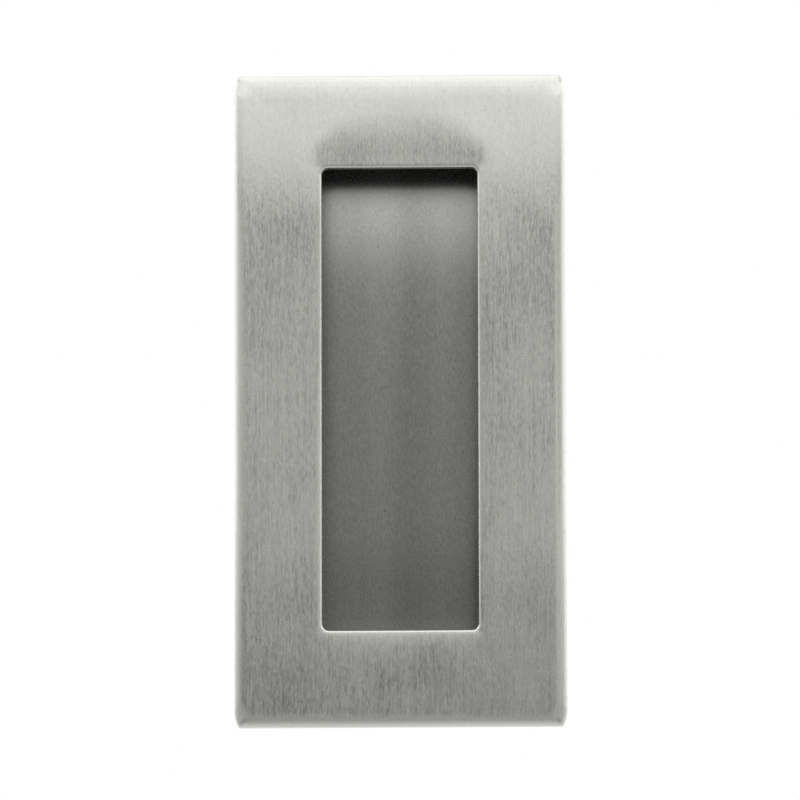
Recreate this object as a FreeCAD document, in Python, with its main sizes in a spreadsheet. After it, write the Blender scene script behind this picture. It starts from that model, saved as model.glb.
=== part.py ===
# Pocket door pull: a pressed stainless face plate, and the flanged finger pan welded behind it.
# Millimetres. The front faces -Y, the face of the door is the plane y = 0, and +Z is up.
import FreeCAD, Part
import math
import os
import Sketcher

# Driving sizes
sizes_mm = {
    "opening_width": 28.2,  # the finger opening in the plate
    "opening_height": 85.2,
    "opening_corner_radius": 1.2,
    "lip_radius": 0.3,  # rounding of the opening's front edge
    "side_border": 15.9,  # plate beside the opening
    "end_border": 17.4,  # plate above and below the opening
    "plate_sheet": 1.5,  # thickness of the plate
    "plate_bend_radius": 0.5,  # inside of the plate's turned edge
    "corner_ease_in": 0.75,  # how far each long side draws in at its ends
    "corner_ease_length": 3.3,  # how much of the side draws in
    "recess_depth": 9.5,  # from the front face to the floor of the pan
    "lip_overhang": 3.0,  # how far the plate stands in over the pan's walls
    "pan_sheet": 1.0,  # thickness of the pan
    "pan_bend_radius": 0.5,  # inside, from wall to floor
    "floor_corner_radius": 1.0,  # corners of the flat part of the floor
    "flange_width": 6.0,  # beyond the outside of the pan's walls
    "flange_bend_radius": 0.8,  # inside, from wall to flange
    "flange_clearance": 0.5,  # from the flange to the door
}

# Sizes that follow from them
plate_width = "sizes.opening_width + 2 * sizes.side_border"
plate_height = "sizes.opening_height + 2 * sizes.end_border"
hollow_depth = "sizes.pan_sheet + sizes.flange_clearance"
projection = f"({hollow_depth} + sizes.plate_sheet)"
edge_radius = "sizes.plate_bend_radius + sizes.plate_sheet"
pan_width = "(sizes.opening_width + 2 * sizes.lip_overhang)"
pan_height = "(sizes.opening_height + 2 * sizes.lip_overhang)"
pan_depth = "sizes.recess_depth - sizes.plate_sheet"
pan_corner_radius = "(sizes.floor_corner_radius + sizes.pan_bend_radius)"
flange_reach = "(sizes.pan_sheet + sizes.flange_width)"
floor_behind_door = f"(sizes.recess_depth - {projection})"
mouth_radius = "(sizes.flange_bend_radius + sizes.pan_sheet)"

doc = FreeCAD.newDocument("pocket_door_pull")
sizes = doc.addObject("Spreadsheet::Sheet", "sizes")
for row, (alias, value) in enumerate(sizes_mm.items(), start=1):
    sizes.set(f"A{row}", alias)
    sizes.set(f"B{row}", str(value))
    sizes.setAlias(f"B{row}", alias)
doc.recompute()


def millimetres(expression):
    return float(sizes.evalExpression(expression))


# A sketch that looks at the door, on the door's face or this far in front of it
def front_sketch(body, name, towards_front="0"):
    sketch = body.newObject("Sketcher::SketchObject", name)
    plane = next(item for item in body.Origin.OriginFeatures if item.Role == "XZ_Plane")
    sketch.AttachmentSupport = [(plane, "")]
    sketch.MapMode = "FlatFace"
    sketch.setExpression("AttachmentOffset.Base.z", towards_front)
    return sketch


def dimension(sketch, constraint, name, expression):
    index = sketch.addConstraint(constraint)
    sketch.renameConstraint(index, name)
    sketch.setExpression(f"Constraints.{name}", expression)


def add_line(sketch, x1, y1, x2, y2):
    return sketch.addGeometry(Part.LineSegment(FreeCAD.Vector(x1, y1, 0), FreeCAD.Vector(x2, y2, 0)))


def add_arc(sketch, x, y, radius, first_angle, last_angle):
    circle = Part.Circle(FreeCAD.Vector(x, y, 0), FreeCAD.Vector(0, 0, 1), radius)
    return sketch.addGeometry(Part.ArcOfCircle(circle, first_angle, last_angle))


# In a sketch a curve starts at its point 1 and ends at its point 2
def join(sketch, kind, first, second):
    sketch.addConstraint(Sketcher.Constraint(kind, first, 2, second, 1))


def span(sketch, kind, low, high, name, expression):
    between_starts = Sketcher.Constraint(kind, low, 1, high, 1, millimetres(expression))
    dimension(sketch, between_starts, name, expression)


# The start of one curve mirrors the end of the other, above to below or left to right
def mirror_across(sketch, first, second):
    sketch.addConstraint(Sketcher.Constraint("Symmetric", first, 1, second, 2, -1))


def mirror_upright(sketch, first, second):
    sketch.addConstraint(Sketcher.Constraint("Symmetric", first, 1, second, 2, -2))


def rounded_rectangle(sketch, width, height, radius):
    half_w = millimetres(width) / 2
    half_h = millimetres(height) / 2
    r = millimetres(radius)
    inner_w = half_w - r
    inner_h = half_h - r
    right = add_line(sketch, half_w, -inner_h, half_w, inner_h)
    top = add_line(sketch, inner_w, half_h, -inner_w, half_h)
    left = add_line(sketch, -half_w, inner_h, -half_w, -inner_h)
    bottom = add_line(sketch, -inner_w, -half_h, inner_w, -half_h)
    quarter = math.pi / 2
    centres = [(inner_w, inner_h), (-inner_w, inner_h), (-inner_w, -inner_h), (inner_w, -inner_h)]
    arcs = [add_arc(sketch, x, y, r, k * quarter, (k + 1) * quarter) for k, (x, y) in enumerate(centres)]
    sides = [right, top, left, bottom]
    for k, arc in enumerate(arcs):
        join(sketch, "Tangent", sides[k], arc)
        join(sketch, "Tangent", arc, sides[(k + 1) % 4])
    for upright, level in ((right, top), (left, bottom)):
        sketch.addConstraint(Sketcher.Constraint("Vertical", upright))
        sketch.addConstraint(Sketcher.Constraint("Horizontal", level))
    for arc in arcs[1:]:
        sketch.addConstraint(Sketcher.Constraint("Equal", arcs[0], arc))
    sketch.addConstraint(Sketcher.Constraint("Symmetric", right, 1, left, 1, -1, 1))  # about the origin
    dimension(sketch, Sketcher.Constraint("Radius", arcs[0], r), "radius", radius)
    span(sketch, "DistanceX", left, right, "width", width)
    span(sketch, "DistanceY", bottom, top, "height", height)


# A rectangle whose long sides bend in a little at both ends, each on an arc tangent to the side
def eased_rectangle(sketch, width, height):
    half_w = millimetres(width) / 2
    half_h = millimetres(height) / 2
    ease_in = millimetres("sizes.corner_ease_in")
    ease_length = millimetres("sizes.corner_ease_length")
    end_w = half_w - ease_in
    side_h = half_h - ease_length
    radius = (ease_length**2 + ease_in**2) / (2 * ease_in)
    turn = math.asin(ease_length / radius)
    centre_x = half_w - radius
    right = add_line(sketch, half_w, -side_h, half_w, side_h)
    top = add_line(sketch, end_w, half_h, -end_w, half_h)
    left = add_line(sketch, -half_w, side_h, -half_w, -side_h)
    bottom = add_line(sketch, -end_w, -half_h, end_w, -half_h)
    top_right = add_arc(sketch, centre_x, side_h, radius, 0, turn)
    top_left = add_arc(sketch, -centre_x, side_h, radius, math.pi - turn, math.pi)
    bottom_left = add_arc(sketch, -centre_x, -side_h, radius, math.pi, math.pi + turn)
    bottom_right = add_arc(sketch, centre_x, -side_h, radius, 2 * math.pi - turn, 2 * math.pi)
    for side, arc in ((right, top_right), (left, bottom_left)):
        join(sketch, "Tangent", side, arc)
    for arc, side in ((top_left, left), (bottom_right, right)):
        join(sketch, "Tangent", arc, side)
    for first, second in ((top_right, top), (top, top_left), (bottom_left, bottom), (bottom, bottom_right)):
        join(sketch, "Coincident", first, second)
    for upper, lower in ((right, right), (left, left), (top, bottom)):
        mirror_across(sketch, upper, lower)
    for one_side, other_side in ((top, top), (bottom, bottom), (right, left)):
        mirror_upright(sketch, one_side, other_side)
    span(sketch, "DistanceX", left, right, "width", width)
    span(sketch, "DistanceY", bottom, top, "height", height)
    end_length = Sketcher.Constraint("Distance", top, 2 * end_w)
    dimension(sketch, end_length, "end_length", f"{width} - 2 * sizes.corner_ease_in")
    side_length = Sketcher.Constraint("Distance", right, 2 * side_h)
    dimension(sketch, side_length, "side_length", f"{height} - 2 * sizes.corner_ease_length")


def pad(body, name, sketch, length, to_the_back=False):
    feature = body.newObject("PartDesign::Pad", name)
    feature.Profile = sketch
    feature.setExpression("Length", length)
    feature.Reversed = to_the_back
    doc.recompute()
    return feature


def pocket(body, name, sketch, to_the_front, length=None):
    volume_before = body.Shape.Volume
    feature = body.newObject("PartDesign::Pocket", name)
    feature.Profile = sketch
    feature.Reversed = to_the_front
    feature.Type = "Length" if length else "ThroughAll"
    if length:
        feature.setExpression("Length", length)
    doc.recompute()
    if body.Shape.Volume >= volume_before:
        raise RuntimeError(f"{name} cut nothing")
    return feature


# Rounds the outer or inner loop of the flat face that lies this far behind the door's face
def round_loop(body, name, behind_door, radius, inner_loop=False):
    base = body.Tip
    level = millimetres(behind_door)
    same_level = 0.001
    loops = []
    for face in base.Shape.Faces:
        box = face.BoundBox
        if max(abs(box.YMin - level), abs(box.YMax - level)) < same_level:
            loops += [wire for wire in face.Wires if wire.isSame(face.OuterWire) != inner_loop]
    names = []
    for number, edge in enumerate(base.Shape.Edges, start=1):
        if any(edge.isSame(other) for wire in loops for other in wire.Edges):
            names.append(f"Edge{number}")
    if not names:
        raise RuntimeError(f"{name} found no edge")
    feature = body.newObject("PartDesign::Fillet", name)
    feature.Base = (base, names)
    feature.setExpression("Radius", radius)
    doc.recompute()
    return feature


def new_body(label):
    body = doc.addObject("PartDesign::Body", label)
    body.Label = label
    body.Placement = FreeCAD.Placement()
    return body


# Face plate: a flat front with its edges turned back to the door, hollow behind, cut for the fingers
def face_plate():
    body = new_body("face_plate")
    outline = front_sketch(body, "plate_outline")
    eased_rectangle(outline, plate_width, plate_height)
    pad(body, "plate_blank", outline, projection)
    round_loop(body, "turned_edge", f"-{projection}", edge_radius)
    hollow = front_sketch(body, "hollow_outline")
    hollow_width = f"{plate_width} - 2 * sizes.plate_sheet"
    hollow_height = f"{plate_height} - 2 * sizes.plate_sheet"
    eased_rectangle(hollow, hollow_width, hollow_height)
    pocket(body, "plate_hollow", hollow, True, hollow_depth)
    round_loop(body, "turned_edge_inside", f"-({hollow_depth})", "sizes.plate_bend_radius")
    opening = front_sketch(body, "opening_outline")
    rounded_rectangle(opening, "sizes.opening_width", "sizes.opening_height", "sizes.opening_corner_radius")
    pocket(body, "finger_opening", opening, True)
    round_loop(body, "opening_lip", f"-{projection}", "sizes.lip_radius", inner_loop=True)
    return body


# Recess pan: a sheet pan whose flange lies flat against the back of the plate
def recess_pan():
    body = new_body("recess_pan")
    flange = front_sketch(body, "flange_outline", hollow_depth)
    flange_width = f"{pan_width} + 2 * {flange_reach}"
    flange_height = f"{pan_height} + 2 * {flange_reach}"
    rounded_rectangle(flange, flange_width, flange_height, f"{pan_corner_radius} + {flange_reach}")
    pad(body, "flange", flange, "sizes.pan_sheet", to_the_back=True)
    wall = front_sketch(body, "wall_outline", hollow_depth)
    wall_width = f"{pan_width} + 2 * sizes.pan_sheet"
    wall_height = f"{pan_height} + 2 * sizes.pan_sheet"
    rounded_rectangle(wall, wall_width, wall_height, f"{pan_corner_radius} + sizes.pan_sheet")
    pad(body, "pan_block", wall, f"{pan_depth} + sizes.pan_sheet", to_the_back=True)
    inside = front_sketch(body, "inside_outline", hollow_depth)
    rounded_rectangle(inside, pan_width, pan_height, pan_corner_radius)
    pocket(body, "pan_inside", inside, False, pan_depth)
    round_loop(body, "floor_bend_inside", floor_behind_door, "sizes.pan_bend_radius")
    back = f"{floor_behind_door} + sizes.pan_sheet"
    round_loop(body, "floor_bend_outside", back, "sizes.pan_bend_radius + sizes.pan_sheet")
    round_loop(body, "mouth_bend", f"-({hollow_depth})", mouth_radius, inner_loop=True)
    flange_back = f"sizes.pan_sheet - ({hollow_depth})"
    round_loop(body, "flange_bend", flange_back, "sizes.flange_bend_radius", inner_loop=True)
    return body


parts = [face_plate(), recess_pan()]
doc.recompute()
for item in doc.Objects:
    if "Invalid" in item.State or "Error" in item.State:
        raise RuntimeError(f"{item.Label} did not build: {item.State}")
for part in parts:
    if part.Shape.isNull() or not part.Shape.isValid() or len(part.Shape.Solids) != 1:
        raise RuntimeError(f"{part.Label} is not one valid solid")

os.makedirs("parts", exist_ok=True)
for part in parts:
    part.Shape.exportStep(f"parts/{part.Label}.step")
    box = part.Shape.optimalBoundingBox(True, False)
    extent = f"{box.XLength:.2f} x {box.YLength:.2f} x {box.ZLength:.2f} mm"
    print(f"{part.Label}: {extent}, {part.Shape.Volume:.0f} cubic mm")
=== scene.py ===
# Pocket door pull in brushed stainless steel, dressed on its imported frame.
# Metres in the scene, millimetres in the settings. The front faces -Y and +Z is up.
import math

import bmesh
import bpy
from mathutils import Matrix, Vector, noise


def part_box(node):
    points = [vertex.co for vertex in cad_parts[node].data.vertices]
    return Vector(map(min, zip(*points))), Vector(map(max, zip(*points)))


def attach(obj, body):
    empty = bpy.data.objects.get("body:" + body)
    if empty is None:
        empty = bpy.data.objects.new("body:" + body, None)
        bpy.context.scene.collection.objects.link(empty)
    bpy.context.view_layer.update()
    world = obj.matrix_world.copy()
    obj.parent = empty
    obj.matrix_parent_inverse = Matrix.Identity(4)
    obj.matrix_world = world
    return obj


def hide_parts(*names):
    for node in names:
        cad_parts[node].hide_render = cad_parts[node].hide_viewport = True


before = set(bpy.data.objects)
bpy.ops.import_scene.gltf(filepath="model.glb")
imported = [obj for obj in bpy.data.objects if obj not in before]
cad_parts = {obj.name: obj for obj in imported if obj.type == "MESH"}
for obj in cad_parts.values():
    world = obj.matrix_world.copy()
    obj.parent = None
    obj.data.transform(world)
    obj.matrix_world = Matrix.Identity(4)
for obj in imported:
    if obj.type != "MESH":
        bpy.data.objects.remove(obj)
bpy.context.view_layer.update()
print("frame loaded:", sorted(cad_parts))

mm = 0.001
quarterTurn = math.radians(90)
scene = bpy.context.scene
scene.view_settings.view_transform = "Standard"


def toLinear(hexColour):
    channels = [int(hexColour[i:i + 2], 16) / 255 for i in (1, 3, 5)]
    linear = [c / 12.92 if c <= 0.04045 else ((c + 0.055) / 1.055) ** 2.4 for c in channels]
    return (*linear, 1.0)


# adds a node; keys are socket names or numbers, or else the node's own properties
def addNode(tree, kind, settings=None, links=None):
    node = tree.nodes.new(kind)
    for key, value in (settings or {}).items():
        if isinstance(key, int) or key in node.inputs:
            node.inputs[key].default_value = value
        else:
            setattr(node, key, value)
    for key, socket in (links or {}).items():
        tree.links.new(socket, node.inputs[key])
    return node


def newMaterial(name):
    material = bpy.data.materials.new(name)
    material.use_nodes = True
    material.node_tree.nodes.clear()
    return material, material.node_tree


# how often each of these lengths, in mm, fits in a metre
def perMetre(*lengths):
    return [1 / (length * mm) for length in lengths]


# reads a table of places and values, straight from one place to the next
def between(table, value):
    for (a, left), (b, right) in zip(table, table[1:]):
        if value <= b:
            return left + (right - left) * max(value - a, 0) / (b - a)
    return table[-1][1]


# outlines in the plane of the door: the upper right corner is drawn, then mirrored to all four
def roundedCorner(halfWidth, halfHeight, radius, count):
    cx, cz = halfWidth - radius, halfHeight - radius
    turns = [quarterTurn * k / (count - 1) for k in range(count)]
    return [(cx + radius * math.cos(a), cz + radius * math.sin(a)) for a in turns]


# the long side bends in on an arc, then a small tip turns into the short side;
# with inner given, the points that face the same ways on a plain corner that far inside
def easedCorner(halfWidth, halfHeight, easeRadius, easeLength, tipRadius, count, inner=0.0, innerRadius=0.0):
    cx, cz = halfWidth - easeRadius, halfHeight - easeLength
    tipZ = halfHeight - tipRadius
    tipX = cx + math.sqrt((easeRadius - tipRadius) ** 2 - (tipZ - cz) ** 2)
    meet = math.atan2(tipZ - cz, tipX - cx)
    half = count // 2
    points = []
    for k in range(count):
        if k < half:
            a = meet * k / half
            x, z, radius = cx, cz, easeRadius
        else:
            a = meet + (quarterTurn - meet) * (k - half) / (count - half - 1)
            x, z, radius = tipX, tipZ, tipRadius
        if inner:
            x, z, radius = halfWidth - inner - innerRadius, halfHeight - inner - innerRadius, innerRadius
        points.append((x + radius * math.cos(a), z + radius * math.sin(a)))
    return points


def closedLoop(corner, sideSteps, endSteps):
    topLeft = [(-x, z) for x, z in reversed(corner)]
    bottomLeft = [(-x, -z) for x, z in corner]
    bottomRight = [(x, -z) for x, z in reversed(corner)]
    corners = [corner, topLeft, bottomLeft, bottomRight]
    loop = []
    for k, points in enumerate(corners):
        loop += points
        steps = sideSteps if k % 2 else endSteps
        (ax, az), (bx, bz) = points[-1], corners[(k + 1) % 4][0]
        loop += [(ax + (bx - ax) * i / steps, az + (bz - az) * i / steps) for i in range(1, steps)]
    return loop


skin = {
    "samePoint": 0.0001,  # points nearer than this are one
    "crispFrom": 40,  # degrees; a sharper fold keeps its edge
    "grainSpan": 150.0,  # what the map that steers the grain covers
}


# rings of (x, y, z) points joined into one skin, closed round or with its first and last rings drawn shut
def skinOfRings(name, rings, closed):
    count = len(rings[0])
    points = [Vector(p) * mm for ring in rings for p in ring]
    faces = []
    for r in range(len(rings) if closed else len(rings) - 1):
        s = (r + 1) % len(rings)
        for i in range(count):
            j = (i + 1) % count
            faces.append((r * count + i, s * count + i, s * count + j, r * count + j))
    mesh = bpy.data.meshes.new(name)
    mesh.from_pydata(points, [], faces)
    if not closed:
        shell = bmesh.new()
        shell.from_mesh(mesh)
        bmesh.ops.remove_doubles(shell, verts=shell.verts, dist=skin["samePoint"] * mm)
        shell.to_mesh(mesh)
        shell.free()
    mesh.update()
    mesh.polygons.foreach_set("use_smooth", [True] * len(mesh.polygons))
    mesh.set_sharp_from_angle(angle=math.radians(skin["crispFrom"]))
    piece = bpy.data.objects.new(name, mesh)
    scene.collection.objects.link(piece)
    return piece


# lays the map that steers the grain on from the nearest side
def layGrain(mesh):
    grain = mesh.uv_layers.new(name="brushLay")
    span = skin["grainSpan"] * mm
    for face in mesh.polygons:
        n = [abs(v) for v in face.normal]
        u, v = (0, 2) if n[1] >= max(n[0], n[2]) else (1, 2) if n[0] > n[2] else (0, 1)
        for k in face.loop_indices:
            p = mesh.vertices[mesh.loops[k].vertex_index].co
            grain.data[k].uv = (0.5 + p[u] / span, 0.5 + p[v] / span)


# Face plate: pressed from one sheet, its edges turned back to the door
facePlate = {
    "sheet": 1.5,
    "openingHalfWidth": 14.1,
    "openingHalfHeight": 42.6,
    "openingCorner": 1.2,
    "lip": 0.4,  # rounding of the opening's front edge
    "edge": 2.0,  # outside radius of the turned edge
    "insideBend": 0.5,
    "easeRadius": 7.635,  # the arc on which each long side draws in at its ends
    "easeLength": 3.3,
    "tip": 0.6,  # the corner's own small rounding
    # the weld behind has drawn the sheet in round the opening: its slope at distances above and below
    "sinkAbove": ((0, 0.022), (1.5, 0.026), (3, 0.031), (5, 0.027), (7, 0.02), (9, 0.014), (11, 0.007),
                  (12, 0.002), (13, 0)),
    "sinkBelow": ((0, 0.085), (1, 0.077), (2, 0.049), (3, 0.025), (5, 0.01), (9, 0.003), (13, 0)),
    "sinkSides": 3.0,  # how far that shows at the long sides
    "sinkMargin": 2.2,  # it would end this far past the opening's corners
    "wave": 0.035,  # depth of the slow unevenness left by pressing and brushing
    "waveLength": 18.0,
    "waveLean": 2 / 3,  # how much its lines slant
    "waveFade": 6.0,  # it dies away over this much at the plate's edges
    "crownEnds": 0.13,  # the face falls away by this much towards its top and bottom
    "crownSides": 0.04,
    "crownReach": 5.0,
    "crownCorner": 3.0,  # rounding of the line where that begins
    "faceReach": 9.8,  # rings like the opening go this far out, then turn into ones like the outline
    # how much the opening's edge is lightened, at its sides, top and bottom: partly wear rubbed bright by
    # hands, partly a painted highlight
    "wearAndHighlightSides": 1.0,
    "wearAndHighlightTop": 0.8,
    "wearAndHighlightBottom": 0.2,
    "wearAndHighlightCorner": 0.3,  # the sides' share of each corner
    "cornerSteps": 24,
    "sideSteps": 48,
    "endSteps": 40,
    "lipSteps": 6,
    "faceSteps": 24,
    "crownSteps": 8,
    "edgeSteps": 16,
    "bendSteps": 5,
    "sinkSteps": 130,
}


def buildFacePlate(p):
    low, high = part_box("face_plate")
    halfWidth, halfHeight = high.x / mm, high.z / mm
    front, back = low.y / mm, high.y / mm
    hollow = front + p["sheet"]

    def opening(grow):
        corner = roundedCorner(p["openingHalfWidth"] + grow, p["openingHalfHeight"] + grow,
                               p["openingCorner"] + grow, p["cornerSteps"])
        return closedLoop(corner, p["sideSteps"], p["endSteps"])

    def outline(shrink, sheetIn=0.0):
        corner = easedCorner(halfWidth - sheetIn - shrink, halfHeight - sheetIn - shrink,
                             p["easeRadius"] - shrink, p["easeLength"] - shrink, p["tip"], p["cornerSteps"])
        return closedLoop(corner, p["sideSteps"], p["endSteps"])

    def level(loop, y):
        return [(x, y, z) for x, z in loop]

    # the sink reaches furthest above and below the middle of the opening, and little at its sides
    reach, steps = p["sinkAbove"][-1][0], p["sinkSteps"]
    drawn = {}
    for key in ("sinkAbove", "sinkBelow"):
        depths = [0.0]
        for k in range(steps):
            slope = between(p[key], reach * (steps - k - 0.5) / steps)
            depths.append(depths[-1] + slope * reach / steps)
        drawn[key] = [(reach * k / steps, depth) for k, depth in enumerate(reversed(depths))]

    def sunk(x, z):
        w, h = p["openingHalfWidth"], p["openingHalfHeight"]
        along = min(abs(x), w) / (w + p["sinkMargin"])
        ends = math.sqrt(1 - along * along)
        away = math.hypot(max(abs(x) - w, 0) * reach / p["sinkSides"], max(abs(z) - h, 0) / ends)
        upper = min(max(0.5 + z / (2 * h), 0), 1)
        above, below = between(drawn["sinkAbove"], away), between(drawn["sinkBelow"], away)
        return ends * (above * upper + below * (1 - upper))

    def uneven(x, z):
        spot = Vector((x, p["waveLean"] * x + z, 0)) / p["waveLength"]
        fromSide = max((halfWidth - abs(x)) / p["waveFade"], 0)
        fromEnd = max((halfHeight - abs(z)) / p["waveFade"], 0)
        inside = min(fromSide, fromEnd, 1)
        return p["wave"] * (1 + noise.noise(spot)) * inside * inside * (3 - 2 * inside)

    def crowned(x, z):
        nearSide = max(1 - (halfWidth - abs(x)) / p["crownReach"], 0)
        nearEnd = max(1 - (halfHeight - abs(z)) / p["crownReach"], 0)
        return p["crownSides"] * nearSide ** 2 + p["crownEnds"] * nearEnd ** 2

    def face(loop, fall=0.0):
        return [(x, front + fall + sunk(x, z) + uneven(x, z) + crowned(x, z), z) for x, z in loop]

    mouth = opening(0)
    rings = [level(mouth, hollow)]
    for k in range(p["lipSteps"] + 1):
        a = quarterTurn * k / p["lipSteps"]
        rings.append(face(opening(p["lip"] * (1 - math.cos(a))), p["lip"] * (1 - math.sin(a))))
    for k in range(1, p["faceSteps"] + 1):
        rings.append(face(opening(p["lip"] + p["faceReach"] * k / p["faceSteps"])))
    # the edge: each point goes from the crown's start to the outline
    corner = easedCorner(halfWidth, halfHeight, p["easeRadius"], p["easeLength"], p["tip"], p["cornerSteps"],
                         p["crownReach"], p["crownCorner"])
    start, outer = closedLoop(corner, p["sideSteps"], p["endSteps"]), outline(0)
    edgeSpots = []
    for k in range(p["crownSteps"]):
        edgeSpots.append((p["crownReach"] + (p["edge"] - p["crownReach"]) * k / p["crownSteps"], 0.0))
    for k in range(p["edgeSteps"] + 1):
        a = quarterTurn * k / p["edgeSteps"]
        edgeSpots.append((p["edge"] * (1 - math.sin(a)), p["edge"] * (1 - math.cos(a))))
    for fromEdge, fall in edgeSpots:
        share = 1 - fromEdge / p["crownReach"]
        loop = [(sx + (ox - sx) * share, sz + (oz - sz) * share) for (sx, sz), (ox, oz) in zip(start, outer)]
        rings.append(face(loop, fall))
    rings.append(level(outer, back))
    rings.append(level(outline(0, p["sheet"]), back))
    for k in range(p["bendSteps"] + 1):
        a = quarterTurn * k / p["bendSteps"]
        shrink = p["insideBend"] * (1 - math.cos(a))
        rings.append(level(outline(shrink, p["sheet"]), hollow + p["insideBend"] * (1 - math.sin(a))))
    piece = skinOfRings("brushed_face_plate", rings, True)
    layGrain(piece.data)
    # the opening's lip is marked for lightening: partly rubbed wear, partly a painted highlight, set side by
    # side
    wearAndHighlight = piece.data.attributes.new("wearAndHighlight", "FLOAT", "POINT")
    count = len(mouth)
    for k in range(2 * count, (p["lipSteps"] + 1) * count):
        x, z = mouth[k % count]
        onSide = abs(x) > p["openingHalfWidth"] - p["wearAndHighlightCorner"]
        wearAndHighlight.data[k].value = p["wearAndHighlightSides"] if onSide else p["wearAndHighlightTop"] if z > 0 else p["wearAndHighlightBottom"]
    print("face plate:", len(piece.data.polygons), "faces")
    return piece


# Recess pan: folded from thinner sheet, its flange welded flat to the back of the plate
recessPan = {
    "sheet": 1.0,
    "overhang": 3.0,  # the plate stands in over the pan's walls by this much
    "depth": 9.5,  # from the plate's front to the floor
    "floorBend": 0.5,
    "planCorner": 1.5,
    "mouthBend": 1.8,
    "flangeBend": 0.8,
    "flange": 6.0,
    # how steeply the floor's front falls back towards its two ends, at heights from its middle
    "bowSlopes": ((15, 0), (20, 0.003), (24, 0.01), (27, 0.02), (31, 0.038), (34.5, 0.062), (37, 0.064),
                  (40, 0), (46, 0)),
    "bowStep": 0.25,
    "bowSteps": 200,
    "cornerSteps": 12,
    "sideSteps": 48,
    "endSteps": 24,
    "floorSteps": 20,
    "bendSteps": 6,
}


def buildRecessPan(p):
    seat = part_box("recess_pan")[0].y / mm
    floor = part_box("face_plate")[0].y / mm + p["depth"]
    halfWidth = facePlate["openingHalfWidth"] + p["overhang"]
    halfHeight = facePlate["openingHalfHeight"] + p["overhang"]
    t = p["sheet"]

    def ring(grow, y):
        radius = max(p["planCorner"] + grow, 0)
        corner = roundedCorner(halfWidth + grow, halfHeight + grow, radius, p["cornerSteps"])
        return [(x, y, z) for x, z in closedLoop(corner, p["sideSteps"], p["endSteps"])]

    falls = [0.0]
    for k in range(p["bowSteps"]):
        falls.append(falls[-1] + between(p["bowSlopes"], k * p["bowStep"]) * p["bowStep"])

    def bowed(points):
        out = []
        for x, y, z in points:
            spot = abs(z) / p["bowStep"]
            k = int(spot)
            out.append((x, y + falls[k] + (falls[k + 1] - falls[k]) * (spot - k) - falls[-1], z))
        return out

    def quarter(radius):
        turns = [quarterTurn * k / p["bendSteps"] for k in range(p["bendSteps"] + 1)]
        return [(radius * (1 - math.sin(a)), radius * (1 - math.cos(a))) for a in turns]

    reach = halfWidth - p["floorBend"]
    floorSpots = [-halfWidth + reach * k / p["floorSteps"] for k in range(p["floorSteps"])]
    rings = []
    for grow in floorSpots:
        rings.append(bowed(ring(grow, floor)))
    for along, up in quarter(p["floorBend"]):
        rings.append(bowed(ring(-along, floor - up)))
    for along, up in quarter(p["mouthBend"]):
        rings.append(ring(up, seat + along))
    rings.append(ring(t + p["flange"], seat))
    rings.append(ring(t + p["flange"], seat + t))
    for along, up in reversed(quarter(p["flangeBend"])):
        rings.append(ring(t + up, seat + t + along))
    for along, up in reversed(quarter(p["floorBend"] + t)):
        rings.append(ring(t - along, floor + t - up))
    for grow in reversed(floorSpots):
        rings.append(ring(grow, floor + t))
    piece = skinOfRings("satin_recess_pan", rings, False)
    layGrain(piece.data)
    print("recess pan:", len(piece.data.polygons), "faces")
    return piece


# materials
fineNoise = {"Scale": 1.0, "Detail": 2.0, "Roughness": 0.6}
softNoise = {"Scale": 1.0, "Detail": 1.0}

brushedLook = {
    "light": "#c8c9c3",
    "dark": "#b5b6b0",
    "burnishedAndHighlight": "#e4e5e1",  # the opening's lip, rubbed bright by wear and lightened further as a painted highlight
    "lineWidth": 0.28,  # mm between brush lines; real ones are finer and would be lost at this size
    "lineLength": 1.15,
    "longLine": 8.0,
    "longShare": 0.4,
    "lineDepth": 0.015,
    "patch": 16.0,  # size of the broad, faint patches of duller metal
    "patchPlace": (2.7, 0, 5.4),
    "patchShare": 0.28,
    "contrast": (0.3, 0.7),  # the part of the pattern's range that goes from bright to dull
    "roughness": (0.115, 0.3),
    "scratchLength": 1.6,  # single deeper lines, duller than the rest
    "scratchPlace": (7.3, 0, 3.1),
    "scratchFrom": (0.62, 0.74),
    "scratchRoughness": 0.09,
    "anisotropy": 1.0,
}


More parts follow.
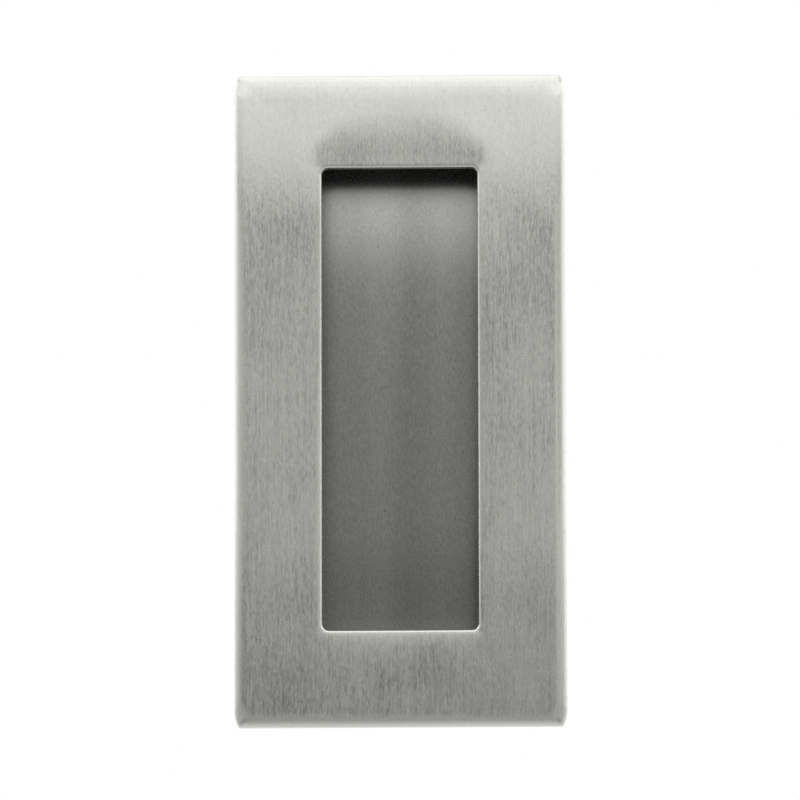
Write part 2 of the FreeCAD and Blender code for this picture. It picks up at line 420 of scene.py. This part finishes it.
# Brushed stainless steel, grained upright by an abrasive belt: highlights smear across the grain,
# and fine upright lines of slightly different shine break up every tone.
def brushedStainless(p):
    material, tree = newMaterial("brushed stainless steel")
    place = addNode(tree, "ShaderNodeTexCoord").outputs["Object"]
    width, patch = p["lineWidth"], p["patch"]
    shortLay = addNode(tree, "ShaderNodeMapping", {"Scale": perMetre(width, width, p["lineLength"])},
                       {"Vector": place})
    longLay = addNode(tree, "ShaderNodeMapping", {"Scale": perMetre(width, width, p["longLine"])},
                      {"Vector": place})
    shortLines = addNode(tree, "ShaderNodeTexNoise", fineNoise, {"Vector": shortLay.outputs[0]})
    longLines = addNode(tree, "ShaderNodeTexNoise", fineNoise, {"Vector": longLay.outputs[0]})
    lines = addNode(tree, "ShaderNodeMix", {"data_type": "FLOAT", 0: p["longShare"]},
                    {2: shortLines.outputs["Fac"], 3: longLines.outputs["Fac"]})
    patchLay = addNode(tree, "ShaderNodeMapping",
                       {"Location": p["patchPlace"], "Scale": perMetre(patch, patch, patch)},
                       {"Vector": place})
    patches = addNode(tree, "ShaderNodeTexNoise", softNoise, {"Vector": patchLay.outputs[0]})
    mottled = addNode(tree, "ShaderNodeMath",
                      {"operation": "MULTIPLY_ADD", 1: p["patchShare"], 2: -p["patchShare"] / 2},
                      {0: patches.outputs["Fac"]})
    mottled = addNode(tree, "ShaderNodeMath", {"operation": "ADD"},
                      {0: mottled.outputs[0], 1: lines.outputs[0]})
    shine = addNode(tree, "ShaderNodeMapRange", {"From Min": p["contrast"][0], "From Max": p["contrast"][1]},
                    {"Value": mottled.outputs[0]})
    streaks = addNode(tree, "ShaderNodeMix",
                      {"data_type": "RGBA", 6: toLinear(p["dark"]), 7: toLinear(p["light"])},
                      {0: shine.outputs[0]})
    # the lip is lightened here: rubbed wear and a painted highlight
    wearAndHighlight = addNode(tree, "ShaderNodeAttribute", {"attribute_name": "wearAndHighlight"})
    colour = addNode(tree, "ShaderNodeMix", {"data_type": "RGBA", 7: toLinear(p["burnishedAndHighlight"])},
                     {0: wearAndHighlight.outputs["Fac"], 6: streaks.outputs[2]})
    rough = addNode(tree, "ShaderNodeMapRange", {"To Min": p["roughness"][0], "To Max": p["roughness"][1]},
                    {"Value": shine.outputs[0]})
    scratchLay = addNode(tree, "ShaderNodeMapping",
                         {"Location": p["scratchPlace"], "Scale": perMetre(width, width, p["scratchLength"])},
                         {"Vector": place})
    scratches = addNode(tree, "ShaderNodeTexNoise", softNoise, {"Vector": scratchLay.outputs[0]})
    scratched = addNode(tree, "ShaderNodeMapRange",
                        {"From Min": p["scratchFrom"][0], "From Max": p["scratchFrom"][1],
                         "To Max": p["scratchRoughness"]},
                        {"Value": scratches.outputs["Fac"]})
    rough = addNode(tree, "ShaderNodeMath", {"operation": "ADD"},
                    {0: rough.outputs[0], 1: scratched.outputs[0]})
    bump = addNode(tree, "ShaderNodeBump", {"Strength": 1.0, "Distance": p["lineDepth"] * mm},
                   {"Height": lines.outputs[0]})
    tangent = addNode(tree, "ShaderNodeTangent", {"direction_type": "UV_MAP", "uv_map": "brushLay"})
    shader = addNode(tree, "ShaderNodeBsdfPrincipled", {"Metallic": 1.0, "Anisotropic": p["anisotropy"]},
                     {"Base Color": colour.outputs[2], "Roughness": rough.outputs[0],
                      "Normal": bump.outputs[0], "Tangent": tangent.outputs[0]})
    addNode(tree, "ShaderNodeOutputMaterial", {}, {"Surface": shader.outputs[0]})
    return material


satinLook = {
    # both tones are set well below bare steel's, as painted shade of the recess
    "light": "#9c9c9a",
    "dark": "#797978",
    "lineWidth": 0.25,  # coarser than the mill's own grain, so that it shows
    "lineLength": 0.7,
    "sheenBand": 9.0,  # width of the upright bands of painted sheen and shade
    "sheenBandLength": 360.0,
    "sheenBandPlace": (1.99, 0, -0.2),
    "sheenBandShare": 0.5,
    "contrast": (0.3, 0.7),  # the part of the pattern's range that goes from dark to light
    "pitted": "#6e6e6c",  # pinprick pits, one every so often
    "pitSpacing": 20.0,
    "pitPlace": (0.3, 0.2, 0),
    "pitSize": (0.12, 0.24),  # from the dark middle to the clean sheet
    "flatFrom": 0.8,  # how squarely a face looks to the front or back to count as flat sheet
    "roughness": (0.25, 0.29),
    "anisotropy": 0.7,
}


# Satin stainless sheet as the mill leaves it: neutral, smoother than the brushed front, with a faint grain;
# its tones are set darker than bare steel as painted shade of the recess, and upright bands of painted sheen
# and shade cross its floor.
def satinStainless(p):
    material, tree = newMaterial("satin stainless steel")
    where = addNode(tree, "ShaderNodeTexCoord")
    place = where.outputs["Object"]
    lay = addNode(tree, "ShaderNodeMapping",
                  {"Scale": perMetre(p["lineWidth"], p["lineWidth"], p["lineLength"])}, {"Vector": place})
    lines = addNode(tree, "ShaderNodeTexNoise", fineNoise, {"Vector": lay.outputs[0]})
    acrossSheenBand, alongSheenBand = perMetre(p["sheenBand"], p["sheenBandLength"])
    # upright bands of painted sheen and shade, placed so the floor is lighter left of the middle and darker
    # to its right
    sheenBandLay = addNode(tree, "ShaderNodeMapping",
                      {"Location": p["sheenBandPlace"], "Scale": (acrossSheenBand, 1, alongSheenBand)}, {"Vector": place})
    sheenBands = addNode(tree, "ShaderNodeTexNoise", softNoise, {"Vector": sheenBandLay.outputs[0]})
    tone = addNode(tree, "ShaderNodeMix", {"data_type": "FLOAT", 0: p["sheenBandShare"]},
                   {2: lines.outputs["Fac"], 3: sheenBands.outputs["Fac"]})
    shine = addNode(tree, "ShaderNodeMapRange", {"From Min": p["contrast"][0], "From Max": p["contrast"][1]},
                    {"Value": tone.outputs[0]})
    # these tones carry the painted shade of the recess
    colour = addNode(tree, "ShaderNodeMix",
                     {"data_type": "RGBA", 6: toLinear(p["dark"]), 7: toLinear(p["light"])},
                     {0: shine.outputs[0]})
    spacing = p["pitSpacing"]
    pitLay = addNode(tree, "ShaderNodeMapping",
                     {"Location": p["pitPlace"], "Rotation": (quarterTurn, 0, 0),
                      "Scale": perMetre(spacing, spacing, spacing)},
                     {"Vector": place})
    pits = addNode(tree, "ShaderNodeTexVoronoi", {"voronoi_dimensions": "2D", "Scale": 1.0},
                   {"Vector": pitLay.outputs[0]})
    clean = addNode(tree, "ShaderNodeMapRange",
                    {"From Min": p["pitSize"][0] / spacing, "From Max": p["pitSize"][1] / spacing},
                    {"Value": pits.outputs["Distance"]})
    # pits are laid on along the depth, so only the flat sheet takes them
    facing = addNode(tree, "ShaderNodeSeparateXYZ", {}, {"Vector": where.outputs["Normal"]})
    flat = addNode(tree, "ShaderNodeMath", {"operation": "ABSOLUTE"}, {0: facing.outputs["Y"]})
    wall = addNode(tree, "ShaderNodeMath", {"operation": "LESS_THAN", 1: p["flatFrom"]}, {0: flat.outputs[0]})
    clean = addNode(tree, "ShaderNodeMath", {"operation": "MAXIMUM"},
                    {0: clean.outputs[0], 1: wall.outputs[0]})
    colour = addNode(tree, "ShaderNodeMix", {"data_type": "RGBA", 6: toLinear(p["pitted"])},
                     {0: clean.outputs[0], 7: colour.outputs[2]})
    rough = addNode(tree, "ShaderNodeMapRange", {"To Min": p["roughness"][0], "To Max": p["roughness"][1]},
                    {"Value": shine.outputs[0]})
    tangent = addNode(tree, "ShaderNodeTangent", {"direction_type": "UV_MAP", "uv_map": "brushLay"})
    shader = addNode(tree, "ShaderNodeBsdfPrincipled", {"Metallic": 1.0, "Anisotropic": p["anisotropy"]},
                     {"Base Color": colour.outputs[2], "Roughness": rough.outputs[0],
                      "Tangent": tangent.outputs[0]})
    addNode(tree, "ShaderNodeOutputMaterial", {}, {"Surface": shader.outputs[0]})
    return material


plate = buildFacePlate(facePlate)
plate.data.materials.append(brushedStainless(brushedLook))
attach(plate, "root")
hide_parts("face_plate")

pan = buildRecessPan(recessPan)
pan.data.materials.append(satinStainless(satinLook))
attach(pan, "root")
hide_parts("recess_pan")
print("materials done")


# a glowing sheet that only reflections show; rows of points, and the brightness at each point
def addGlow(name, rows, glow):
    count = len(rows[0])
    faces = [(j * count + i, j * count + i + 1, (j + 1) * count + i + 1, (j + 1) * count + i)
             for j in range(len(rows) - 1) for i in range(count - 1)]
    mesh = bpy.data.meshes.new(name)
    mesh.from_pydata([point for row in rows for point in row], [], faces)
    shade = mesh.color_attributes.new("glow", "FLOAT_COLOR", "POINT")
    for k, g in enumerate(value for row in glow for value in row):
        shade.data[k].color = (g, g, g, 1)
    material, tree = newMaterial(name)
    tone = addNode(tree, "ShaderNodeAttribute", {"attribute_name": "glow"})
    light = addNode(tree, "ShaderNodeEmission", {}, {"Color": tone.outputs["Color"]})
    addNode(tree, "ShaderNodeOutputMaterial", {}, {"Surface": light.outputs[0]})
    material.cycles.emission_sampling = "NONE"
    mesh.materials.append(material)
    sheet = bpy.data.objects.new(name, mesh)
    scene.collection.objects.link(sheet)
    sheet.visible_camera = False
    sheet.visible_diffuse = False
    sheet.visible_transmission = False
    sheet.visible_shadow = False


# Studio: a white surround, and in front the greyer room in which the camera stands, which the metal mirrors.
# Lengths here are in metres, turns in degrees to the right of straight ahead, heights in degrees up.
studio = {
    "radius": 2.6,
    "turns": (-150, 150),
    "heights": (-89, 30),
    # brightness at heights, then the factor at turns
    "byHeight": ((-89, 0.86), (-69, 0.64), (-55, 0.56), (-43, 0.55), (-30, 0.57), (-10, 0.6), (3, 0.6),
                 (8.2, 0.7), (10.1, 0.93), (12.1, 0.83), (14.1, 0.95), (20, 0.95), (30, 1.0)),
    "byTurn": ((-150, 2.3), (-124, 2.05), (-104, 1.62), (-89, 1.3), (-70, 0.97), (-40, 0.82), (-22, 0.79),
               (-7, 0.85), (7, 1.3), (16, 1.4), (25, 1.02), (38, 0.81), (60, 0.85), (73, 1.1), (85, 1.43),
               (102, 1.8), (120, 2.1), (150, 2.2)),
    "turnsFade": (-75, -35),  # between these heights the sides come to be brighter than the middle
    "rows": 60,
    "columns": 70,
}


def buildRoom(p):
    (left, right), (bottom, top), (low, high) = p["turns"], p["heights"], p["turnsFade"]
    rows, glow = [], []
    for j in range(p["rows"] + 1):
        h = bottom + (top - bottom) * j / p["rows"]
        e = math.radians(h)
        sides = min(max((h - low) / (high - low), 0), 1)
        row, tones = [], []
        for i in range(p["columns"] + 1):
            a = left + (right - left) * i / p["columns"]
            t = math.radians(a)
            toward = Vector((math.sin(t) * math.cos(e), -math.cos(t) * math.cos(e), math.sin(e)))
            row.append(toward * p["radius"])
            tones.append(between(p["byHeight"], h) * (1 + (between(p["byTurn"], a) - 1) * sides))
        rows.append(row)
        glow.append(tones)
    addGlow("room", rows, glow)


# Panels bent round the pull between two turns, through stations of distance and height in metres,
# and brightness at the left and right ends.
panels = {
    "columns": 24,
    "softbox": ((-92, 92), ((0.35, 0.1055, 0.54, 0.62), (0.35, 0.116, 0.99, 1.15), (0.36, 0.137, 1.22, 1.42),
                            (0.37, 0.16, 1.47, 1.73), (0.385, 0.2, 1.45, 1.71), (0.4, 0.3, 1.45, 1.71),
                            (0.4, 0.5, 1.52, 1.78))),
    "left_flag": ((-115, -4), ((0.35, -0.2, 0.75, 0.55), (0.35, -0.05, 0.88, 0.4), (0.35, 0.01, 1.15, 0.07),
                               (0.35, 0.036, 1.35, 0.4))),
    "right_flag": ((18, 100), ((0.35, -0.2, 0.6, 0.75), (0.35, -0.05, 0.62, 0.8), (0.35, 0.01, 0.66, 0.9),
                               (0.35, 0.036, 0.8, 1.2))),
    "camera_card": ((-5, 4.5), ((2.0, -1.2, 0.24, 0.24), (2.0, 0.39, 0.24, 0.24), (2.0, 0.46, 0.5, 0.5),
                                (2.0, 0.6, 0.6, 0.6))),
    "back_card": ((-14, 14), ((2.2, 0.42, 0.62, 1.0), (2.2, 0.47, 0.44, 0.68), (2.2, 0.7, 0.44, 0.68))),
}


def addPanel(p, name):
    (left, right), stations = p[name]
    spots = [k / p["columns"] for k in range(p["columns"] + 1)]
    turns = [math.radians(left + (right - left) * s) for s in spots]
    rows, glow = [], []
    for away, z, atLeft, atRight in stations:
        rows.append([(math.sin(t) * away, -math.cos(t) * away, z) for t in turns])
        glow.append([atLeft + (atRight - atLeft) * s for s in spots])
    addGlow(name, rows, glow)


# a flat panel overhead, with the brightness of its front and back edges
topPanel = {"halfWidth": 0.5, "halfDepth": 0.4, "height": 0.5, "front": 1.7, "back": 1.85}


def buildTopPanel(p):
    rows, glow = [], []
    for y, tone in ((-p["halfDepth"], p["front"]), (p["halfDepth"], p["back"])):
        rows.append([(-p["halfWidth"], y, p["height"]), (p["halfWidth"], y, p["height"])])
        glow.append([tone, tone])
    addGlow("top_panel", rows, glow)


buildRoom(studio)
for panelName in ("softbox", "left_flag", "right_flag", "camera_card", "back_card"):
    addPanel(panels, panelName)
buildTopPanel(topPanel)
print("studio done")


# 1 for rays that show the surround itself or mirror it, 0 for those that light things
def seenDirectly(tree):
    path = addNode(tree, "ShaderNodeLightPath")
    shiny = addNode(tree, "ShaderNodeMath", {"operation": "MAXIMUM"},
                    {0: path.outputs["Is Camera Ray"], 1: path.outputs["Is Glossy Ray"]})
    return addNode(tree, "ShaderNodeMath", {"operation": "MAXIMUM"},
                   {0: shiny.outputs[0], 1: path.outputs["Is Transmission Ray"]}).outputs[0]


# Floor: pale and far below the pull, as white to the eye as the rest of the surround; lengths in metres
floorLook = {"half": 6, "height": -0.5, "tone": 0.8, "lift": 0.5}


def buildFloor(p):
    half, z, tone = p["half"], p["height"], p["tone"]
    mesh = bpy.data.meshes.new("floor")
    corners = [(-half, -half, z), (half, -half, z), (half, half, z), (-half, half, z)]
    mesh.from_pydata(corners, [], [(0, 1, 2, 3)])
    floor = bpy.data.objects.new("floor", mesh)
    scene.collection.objects.link(floor)
    material, tree = newMaterial("pale floor")
    paint = addNode(tree, "ShaderNodeBsdfDiffuse", {"Color": (tone, tone, tone, 1)})
    lift = addNode(tree, "ShaderNodeMath", {"operation": "MULTIPLY", 1: p["lift"]}, {0: seenDirectly(tree)})
    white = addNode(tree, "ShaderNodeEmission", {"Color": (1, 1, 1, 1)}, {"Strength": lift.outputs[0]})
    both = addNode(tree, "ShaderNodeAddShader", {}, {0: paint.outputs[0], 1: white.outputs[0]})
    addNode(tree, "ShaderNodeOutputMaterial", {}, {"Surface": both.outputs[0]})
    mesh.materials.append(material)
    floor.visible_glossy = False  # the metal mirrors the room's sheet instead


# World: white to the eye and in the metal, softer as plain light
skyLook = {"plainLight": 0.6, "seen": 1.0}


def buildWorld(p):
    world = bpy.data.worlds.new("studio")
    scene.world = world
    world.use_nodes = True
    world.cycles.sampling_method = "NONE"
    tree = world.node_tree
    tree.nodes.clear()
    strength = addNode(tree, "ShaderNodeMapRange", {"To Min": p["plainLight"], "To Max": p["seen"]},
                       {"Value": seenDirectly(tree)})
    sky = addNode(tree, "ShaderNodeBackground", {"Color": (1, 1, 1, 1)}, {"Strength": strength.outputs[0]})
    addNode(tree, "ShaderNodeOutputWorld", {}, {"Surface": sky.outputs[0]})


buildFloor(floorLook)
buildWorld(skyLook)
print("floor and world done")


# Camera: a little below the pull, looking up at it
view = {
    "distance": 2300,
    "pitch": 10.96,  # degrees, as are the next two
    "yaw": 1.09,
    "roll": -0.14,
    "pixelsPerMm": 5.521,  # at the pull
    "picture": 800,  # pixels across
    "sensor": 36.0,
    "shift": (-0.0003, 0.001),
    "clipEnd": 20,  # metres
}


def buildCamera(p):
    pitch, yaw, roll = (math.radians(p[key]) for key in ("pitch", "yaw", "roll"))
    look = Vector((-math.sin(yaw) * math.cos(pitch), math.cos(yaw) * math.cos(pitch), math.sin(pitch)))
    right = Vector((math.cos(yaw), math.sin(yaw), 0))
    up = right.cross(look)
    right, up = right * math.cos(roll) + up * math.sin(roll), up * math.cos(roll) - right * math.sin(roll)
    data = bpy.data.cameras.new("camera")
    data.sensor_width = p["sensor"]
    data.lens = p["sensor"] * p["pixelsPerMm"] * p["distance"] / p["picture"]
    data.clip_end = p["clipEnd"]
    data.shift_x, data.shift_y = p["shift"]
    camera = bpy.data.objects.new("camera", data)
    scene.collection.objects.link(camera)
    turn = Matrix((right, up, -look)).transposed().to_4x4()
    camera.matrix_world = Matrix.Translation(-look * p["distance"] * mm) @ turn
    scene.camera = camera


buildCamera(view)
print("camera done")
